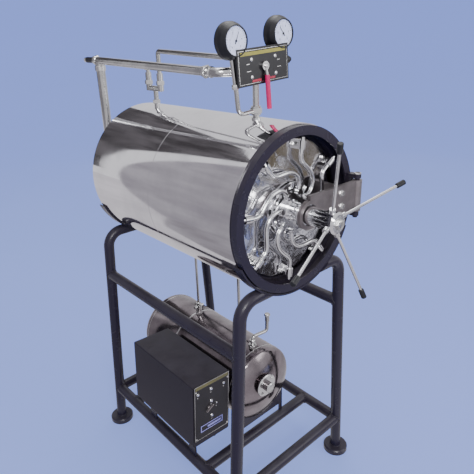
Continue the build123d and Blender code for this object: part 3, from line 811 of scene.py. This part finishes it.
# %% Boiler
BOILER = dict(x=8, z=406, r=149)
bm = bmesh.new()
for y, width in ((208, 3.0), (574, 8.0), (762, 3.0)):
    ring = [(148.6, 0), (149.6, 0.3), (150.2, width / 2), (149.6, width - 0.3), (148.6, width)]
    turn(bm, at(BOILER["x"], y, BOILER["z"]), (0, 1, 0), ring + ring[:1], 96)
finish_piece("boiler_seams", bm, "bright_steel", "vessel")
bm = bmesh.new()
flange = [(19.4, 0), (43.0, 0), (45.0, 1.5), (45.0, 4.0), (42.0, 6.0), (19.4, 6.0)]
turn(bm, at(-14, 137.2, 438), (0, -1, 0), flange + flange[:1], 56)
turn(bm, at(-14, 113.2, 438), (0, -1, 0), [(0, 0), (20.5, 0), (20.5, 2), (17, 5), (9, 7), (0, 7.6)], 48)
finish_piece("heater_flange", bm, "bright_steel", "vessel")
spots = [at(-14 + 34 * math.cos(a), 131.4, 438 + 34 * math.sin(a)) for a in (0.8, 2.37, 3.94, 5.5)]
hex_heads.run("heater_bolts", "bright_steel", "vessel", spots, facing=[(0, -1, 0)] * 4, Radius=0.0048, Height=0.005)

# %% [markdown]
# ## Welds on the stand
# Pipes of one size meet in a saddle: around the joining pipe, the line runs forward and
# back by the cosine of the angle. One function gives that line for any two pipes, and the
# weld recipe lays its ripples along it.

# %% Weld lines
TUBE = 21.2
LEG_FOOT, LEG_TOP, LEG_HEIGHT = 292.0, 238.5, 930.0
LINE_STEPS = 36


def leg_at(height):
    """Distance of a leg's centre line from the middle plane."""
    return LEG_FOOT + (LEG_TOP - LEG_FOOT) * height / LEG_HEIGHT


def saddle_line(points, edges, middle, along, post, bulge=1.0):
    """Add the closed line on which one pipe meets another of the same size."""
    along, post = Vector(along).normalized(), Vector(post).normalized()
    third = along.cross(post)
    first = len(points)
    for i in range(LINE_STEPS):
        turn_by = 2 * math.pi * i / LINE_STEPS
        reach = abs(math.cos(turn_by)) * bulge
        offset = third * math.sin(turn_by) + post * math.cos(turn_by) + along * reach
        place = Vector(middle) + offset * TUBE
        points.append(at(place.x, place.y, place.z))
        edges.append((first + i, first + (i + 1) % LINE_STEPS))


points, edges = [], []
for side in (-1, 1):
    leg_way = (side * (LEG_TOP - LEG_FOOT), 0, LEG_HEIGHT)
    for frame_y, inward in ((19, 1), (827, -1)):
        for level in (746, 172):
            saddle_line(points, edges, (side * leg_at(level), frame_y, level), (0, inward, 0), leg_way)
        saddle_line(points, edges, (side * leg_at(172), frame_y, 172), (-side, 0, 0), leg_way)
        foot_up = (side * leg_at(22), frame_y, 22)
        saddle_line(points, edges, foot_up, (0, 0, 1), (1, 0, 0), bulge=0.0)
    for rail_y in (191, 690):
        saddle_line(points, edges, (side * leg_at(172), rail_y, 172), (-side, 0, 0), (0, 1, 0))
weld_bead.run("stand_welds", "black_paint", "vessel", points, edges, Spacing=0.0030, Radius=0.0031, Seed=4)
print("weld lines", len(points) // LINE_STEPS)

# %% [markdown]
# ## Studio
# The floor is pale and plain, and runs up into a wall all round so that no horizon cuts
# the picture. Polished metal shows nothing but its surroundings, so those matter as much
# as the lamps: the mirrors see a neutral floor, a grey wall on the left, a dark gallery
# behind and a cluttered room in front, none of which the camera sees itself.

# %% Floor
def sweep_stage(name, outline, finish):
    """A turned backdrop, open at the top, whose faces look inwards."""
    bm = bmesh.new()
    turn(bm, Vector((0, 0, 0)), (0, 0, 1), outline, 96)
    mesh = bpy.data.meshes.new(name)
    bm.to_mesh(mesh)
    bm.free()
    mesh.shade_smooth()
    stage = bpy.data.objects.new(name, mesh)
    scene.collection.objects.link(stage)
    dress(stage, finish)
    return stage


ground = Finish("floor_blue")
ground.set(Base_Color=(0.15, 0.20, 0.46, 1), Roughness=0.9, Emission_Color=(0.18, 0.25, 0.56, 1), Emission_Strength=1.0)
FINISHES["floor_blue"] = ground
COVE = [(0, 0), (6000, 0), (7000, 60), (8000, 300), (8800, 900), (9300, 2000), (9600, 7000)]
floor = sweep_stage("floor", COVE, "floor_blue")
floor.visible_glossy = False


def only_in_mirrors(stage):
    """Let a backdrop be seen in reflections and nowhere else."""
    stage.visible_camera = False
    stage.visible_diffuse = False
    stage.visible_shadow = False
    stage.visible_transmission = False



# %% [markdown]
# A card is a flat sheet that glows a little, so its tone in the mirrors doesn't depend on
# the lamps. Its colour is uneven, because a real room is.


# %% Cards
def card(name, corners, dark, pale, scale, low=0.4, high=0.6):
    """A glowing sheet that only the mirrors see."""
    glow = Finish(name)
    patches = glow.spread(glow.noise(scale, 5.0), low, high)
    glow.set(Base_Color=(0, 0, 0, 1), Emission_Color=glow.blend(patches, dark, pale), Emission_Strength=1.0,
             Specular_IOR_Level=0.0)
    FINISHES[name] = glow
    mesh = bpy.data.meshes.new(name)
    mesh.from_pydata([tuple(at(*c)) for c in corners], [], [tuple(range(len(corners)))])
    sheet = bpy.data.objects.new(name, mesh)
    scene.collection.objects.link(sheet)
    dress(sheet, name)
    only_in_mirrors(sheet)
    return sheet


wall_edge = (-1253, 2299)
card("floor_in_mirrors", [(-9000, -9000, 1), (9000, -9000, 1), (9000, 9000, 1), (-9000, 9000, 1)],
     (0.66, 0.63, 0.68, 1), (0.78, 0.75, 0.80, 1), 0.7)
card("wall_left", [(*wall_edge, 0), (-4000, -1000, 0), (-4000, -1000, 4500), (*wall_edge, 4500)],
     (0.33, 0.31, 0.35, 1), (0.44, 0.42, 0.46, 1), 1.6)
card("mat_left", [(*wall_edge, 4), (-730, 1889, 4), (-531, 1356, 4), (-400, 700, 4), (-420, -600, 4), (-4000, -1000, 4)],
     (0.28, 0.26, 0.29, 1), (0.40, 0.38, 0.42, 1), 1.8)
card("gallery", [(-1480, 3000, 1150), (840, 3000, 1300), (840, 3000, 2620), (190, 3000, 3660), (-300, 3000, 4200),
                 (-1290, 3000, 4200), (-1290, 3000, 2300), (-1400, 3000, 1900)],
     (0.060, 0.055, 0.060, 1), (0.14, 0.13, 0.14, 1), 2.4)
card("room_front", [(900, -900, 4), (6000, -2200, 4), (6000, -7000, 4), (1200, -7000, 4), (700, -1700, 4)],
     (0.020, 0.016, 0.018, 1), (0.85, 0.84, 0.95, 1), 2.6, 0.51, 0.56)
card("window_front", [(1350, -1600, 9), (2700, -2950, 9), (3300, -4200, 9), (2300, -3900, 9), (1000, -2300, 9)],
     (0.04, 0.09, 0.42, 1), (0.95, 0.98, 1.15, 1), 3.2, 0.47, 0.54)
card("bench_front", [(3300, -2500, 9), (6000, -3600, 9), (6500, -6500, 9), (3800, -4500, 9)],
     (0.07, 0.055, 0.045, 1), (0.24, 0.205, 0.15, 1), 1.4)

# %% [markdown]
# The light itself is soft: an even pale sky and three large lamps, one high on the left as
# the key, one low on the right to fill and one overhead that draws the bright lines along
# the pipes.

# %% Sky and lamps
world = bpy.data.worlds.new("studio")
scene.world = world
world.use_nodes = True
glow = world.node_tree.nodes["Background"]
glow.inputs["Color"].default_value = (0.90, 0.89, 0.93, 1)
glow.inputs["Strength"].default_value = 0.98


def softbox(name, place, aim, size, power):
    """Large rectangular lamp turned towards a point."""
    lamp = bpy.data.lights.new(name, "AREA")
    lamp.shape = "RECTANGLE"
    lamp.size, lamp.size_y = size
    lamp.energy = power
    lamp_object = bpy.data.objects.new(name, lamp)
    scene.collection.objects.link(lamp_object)
    lamp_object.location = place
    aimed = (Vector(aim) - Vector(place)).to_track_quat("-Z", "Y")
    lamp_object.rotation_euler = aimed.to_euler()
    return lamp_object


softbox("key", (-1.7, -3.0, 3.0), (0, -0.1, 1.2), (1.4, 1.0), 95)
softbox("fill", (1.8, -3.0, 2.0), (0, -0.2, 1.0), (1.4, 1.6), 20)
softbox("top", (0.5, 0.4, 4.0), (0, 0.0, 1.2), (1.2, 2.6), 35)
